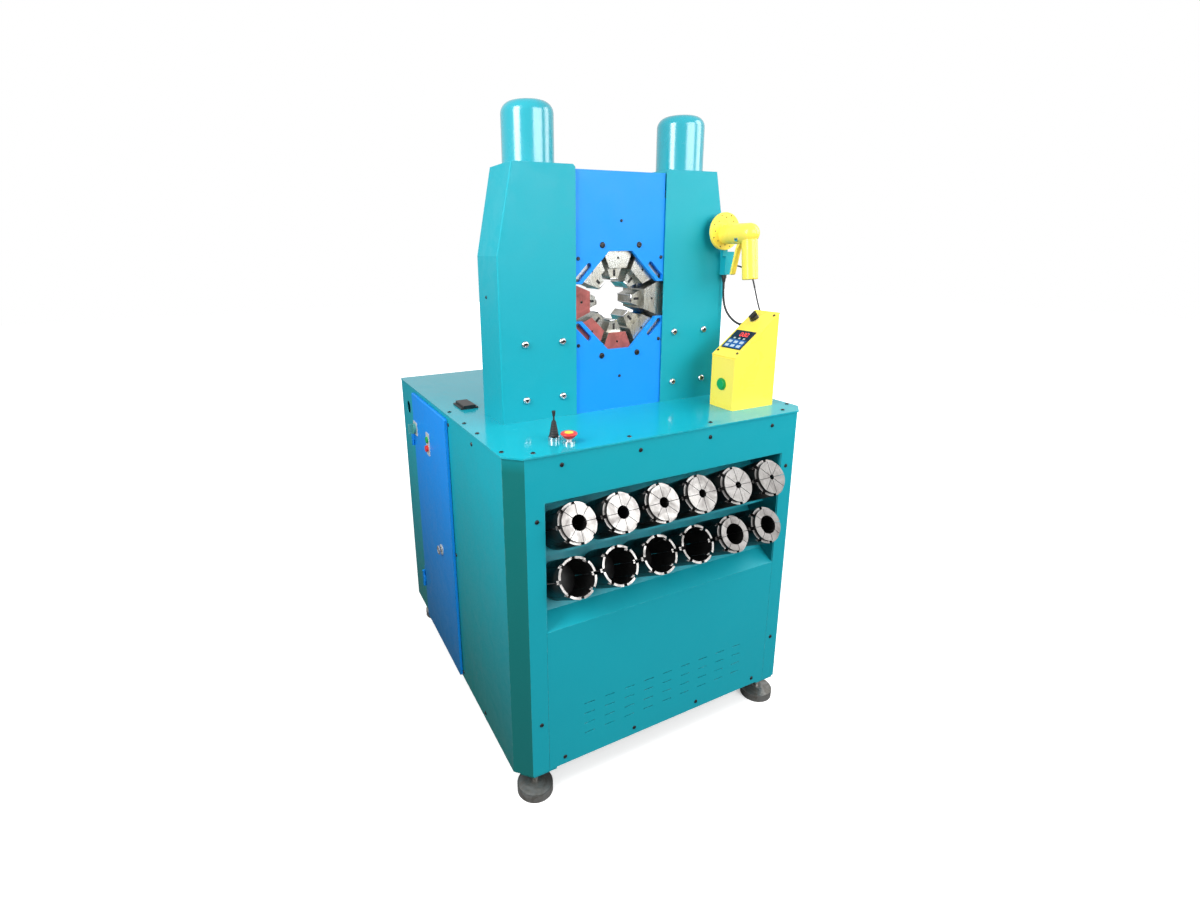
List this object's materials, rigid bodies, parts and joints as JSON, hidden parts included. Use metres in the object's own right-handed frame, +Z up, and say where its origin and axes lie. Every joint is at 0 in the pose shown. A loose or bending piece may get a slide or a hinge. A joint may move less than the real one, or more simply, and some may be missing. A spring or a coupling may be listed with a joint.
{
  "type": "hose crimping machine",
  "caption": "Floor-standing vertical hydraulic hose crimping machine with segmented dies, an electrical cabinet, stored die sets and a swing-free quick-change tool.",
  "frame": {"origin": "centre of the four feet on the floor", "axes": "+Z up; +X to the operator's right; -Y towards the operator; the crimp axis runs along Y"},
  "size_m": [0.9305, 1.0564, 1.716],
  "materials": {
    "bezel_metal": "satin",
    "black_oxide": "black oxide",
    "black_plastic": "satin",
    "black_screw": "black oxide",
    "blue_paint": "satin",
    "bolt_chrome": "polished",
    "cable_jacket": "matt",
    "device_plastic": "satin",
    "die_steel": "ground",
    "door_blue": "satin",
    "foot_steel": "dull",
    "frame_paint": "satin",
    "gland_plastic": "matt",
    "green_plastic": "gloss",
    "grey_plastic": "satin",
    "key_panel": "gloss",
    "knob_teal": "gloss",
    "lever_metal": "satin",
    "lock_metal": "satin",
    "motor_paint": "satin",
    "red_plastic": "gloss",
    "rod_chrome": "polished",
    "saddle_steel": "machined",
    "stem_metal": "satin",
    "tank_paint": "satin",
    "teal_paint": "satin textured",
    "valve_steel": "satin",
    "yellow_paint": "gloss",
    "zinc_plate": "satin"
  },
  "bodies": {
    "machine": {"base_frame": "frame_paint", "bottom_die": "die_steel", "button_bezels": "bezel_metal", "cable_glands": "gland_plastic", "control_box": "yellow_paint", "control_keypad": "key_panel", "control_lid": "yellow_paint", "die_rack": "teal_paint", "die_sets_lower": "black_oxide", "die_sets_upper": "black_oxide", "door_hinges": "black_screw", "electrical_components": "device_plastic", "electrical_enclosure": "zinc_plate", "estop_base": "bezel_metal", "front_panel": "teal_paint", "front_surround": "teal_paint", "head_bolts": "bolt_chrome", "joystick_base": "bezel_metal", "left_cover": "teal_paint", "left_side_panel": "teal_paint", "levelling_feet": "foot_steel", "lower_plates": "blue_paint", "lower_saddle": "saddle_steel", "oil_tank": "tank_paint", "panel_screws": "black_screw", "piston_rods": "rod_chrome", "power_cable": "cable_jacket", "pump_motor": "motor_paint", "rear_panel": "teal_paint", "right_cover": "teal_paint", "right_side_panel": "teal_paint", "sensor_cable": "cable_jacket", "table_connector": "black_plastic", "tool_bracket": "yellow_paint", "top_plate": "teal_paint", "valve_block": "valve_steel"},
    "upper_head": {"upper_saddle": "saddle_steel", "upper_plates": "blue_paint", "upper_plate_bolts": "black_screw", "cylinder_barrels": "teal_paint", "top_die": "die_steel"},
    "left_die": {"left_die": "die_steel"},
    "right_die": {"right_die": "die_steel"},
    "lower_left_die": {"lower_left_die": "die_steel"},
    "lower_right_die": {"lower_right_die": "die_steel"},
    "upper_left_die": {"upper_left_die": "die_steel"},
    "upper_right_die": {"upper_right_die": "die_steel"},
    "cabinet_door": {"electrical_door": "door_blue", "door_fittings": "grey_plastic"},
    "door_lock": {"door_lock": "lock_metal"},
    "main_switch_knob": {"main_switch_knob": "knob_teal"},
    "start_button": {"start_button": "green_plastic"},
    "stop_button": {"stop_button": "red_plastic"},
    "joystick_lever": {"joystick_lever": "lever_metal"},
    "estop_plunger": {"estop_plunger": "stem_metal"},
    "estop_head": {"estop_head": "red_plastic"},
    "cycle_button": {"cycle_button": "green_plastic"},
    "selector_knob": {"selector_knob": "black_plastic"},
    "tool": {"tool_head": "yellow_paint"},
    "tool_trigger": {"tool_trigger": "yellow_paint"}
  },
  "joints": [
    {"name": "upper_saddle_slide", "type": "slide", "parent": "machine", "child": "upper_head", "axis": [0, 0, -1], "range_m": [-0.04, 0.04]},
    {"name": "right_die_slide", "type": "slide", "parent": "machine", "child": "right_die", "axis": [-0.7071, 0, -0.7071], "range_m": [-0.0283, 0.0283]},
    {"name": "left_die_slide", "type": "slide", "parent": "machine", "child": "left_die", "axis": [0.7071, 0, -0.7071], "range_m": [-0.0283, 0.0283]},
    {"name": "lower_right_die_slide", "type": "slide", "parent": "machine", "child": "lower_right_die", "axis": [-0.9239, 0, -0.3827], "range_m": [-0.01531, 0.01531]},
    {"name": "lower_left_die_slide", "type": "slide", "parent": "machine", "child": "lower_left_die", "axis": [0.9239, 0, -0.3827], "range_m": [-0.01531, 0.01531]},
    {"name": "upper_right_die_slide", "type": "slide", "parent": "upper_head", "child": "upper_right_die", "axis": [-0.9239, 0, 0.3827], "range_m": [-0.01531, 0.01531]},
    {"name": "upper_left_die_slide", "type": "slide", "parent": "upper_head", "child": "upper_left_die", "axis": [0.9239, 0, 0.3827], "range_m": [-0.01531, 0.01531]},
    {"name": "door_hinge", "type": "hinge", "parent": "machine", "child": "cabinet_door", "pos_m": [-0.4605, 0.324, 0.5], "axis": [0, 0, -1], "range_deg": [0, 110]},
    {"name": "door_lock_turn", "type": "hinge", "parent": "cabinet_door", "child": "door_lock", "pos_m": [-0.4565, 0.064, 0.472], "axis": [1, 0, 0], "range_deg": [0, 90]},
    {"name": "main_switch_turn", "type": "hinge", "parent": "cabinet_door", "child": "main_switch_knob", "pos_m": [-0.46, 0.292, 0.806], "axis": [1, 0, 0], "range_deg": [0, 90]},
    {"name": "start_button_press", "type": "slide", "parent": "cabinet_door", "child": "start_button", "axis": [1, 0, 0], "range_m": [0, 0.003], "stiffness_N_per_m": 400, "springref_m": -0.002},
    {"name": "stop_button_press", "type": "slide", "parent": "cabinet_door", "child": "stop_button", "axis": [1, 0, 0], "range_m": [0, 0.003], "stiffness_N_per_m": 400, "springref_m": -0.002},
    {"name": "joystick_tilt", "type": "hinge", "parent": "machine", "child": "joystick_lever", "pos_m": [-0.294, -0.411, 0.943], "axis": [1, 0, 0], "range_deg": [-12, 12], "stiffness_Nm_per_rad": 0.5},
    {"name": "estop_press", "type": "slide", "parent": "machine", "child": "estop_plunger", "axis": [0, 0, -1], "range_m": [0, 0.005], "stiffness_N_per_m": 800, "springref_m": -0.003},
    {"name": "estop_twist", "type": "hinge", "parent": "estop_plunger", "child": "estop_head", "pos_m": [-0.273, -0.447, 0.955], "axis": [0, 0, 1], "range_deg": [0, 45], "stiffness_Nm_per_rad": 0.05, "springref_deg": -17.19},
    {"name": "cycle_button_press", "type": "slide", "parent": "machine", "child": "cycle_button", "axis": [1, 0, 0], "range_m": [0, 0.003], "stiffness_N_per_m": 400, "springref_m": -0.002},
    {"name": "selector_turn", "type": "hinge", "parent": "machine", "child": "selector_knob", "pos_m": [0.36722, -0.355, 1.17437], "axis": [-0.6051, 0, 0.7962], "range_deg": [-60, 60]},
    {"name": "tool_pull", "type": "slide", "parent": "machine", "child": "tool", "axis": [0, -1, 0], "range_m": [0, 0.05]},
    {"name": "trigger_pull", "type": "hinge", "parent": "tool", "child": "tool_trigger", "pos_m": [0.321, -0.336, 1.392], "axis": [-1, 0, 0], "range_deg": [0, 18], "stiffness_Nm_per_rad": 0.5, "springref_deg": -20.05}
  ],
  "couplings": [
    {"joint": "right_die_slide", "follows": "upper_saddle_slide", "ratio": 0.70711},
    {"joint": "left_die_slide", "follows": "upper_saddle_slide", "ratio": 0.70711},
    {"joint": "lower_right_die_slide", "follows": "upper_saddle_slide", "ratio": 0.38268},
    {"joint": "lower_left_die_slide", "follows": "upper_saddle_slide", "ratio": 0.38268},
    {"joint": "upper_right_die_slide", "follows": "upper_saddle_slide", "ratio": 0.38268},
    {"joint": "upper_left_die_slide", "follows": "upper_saddle_slide", "ratio": 0.38268}
  ]
}
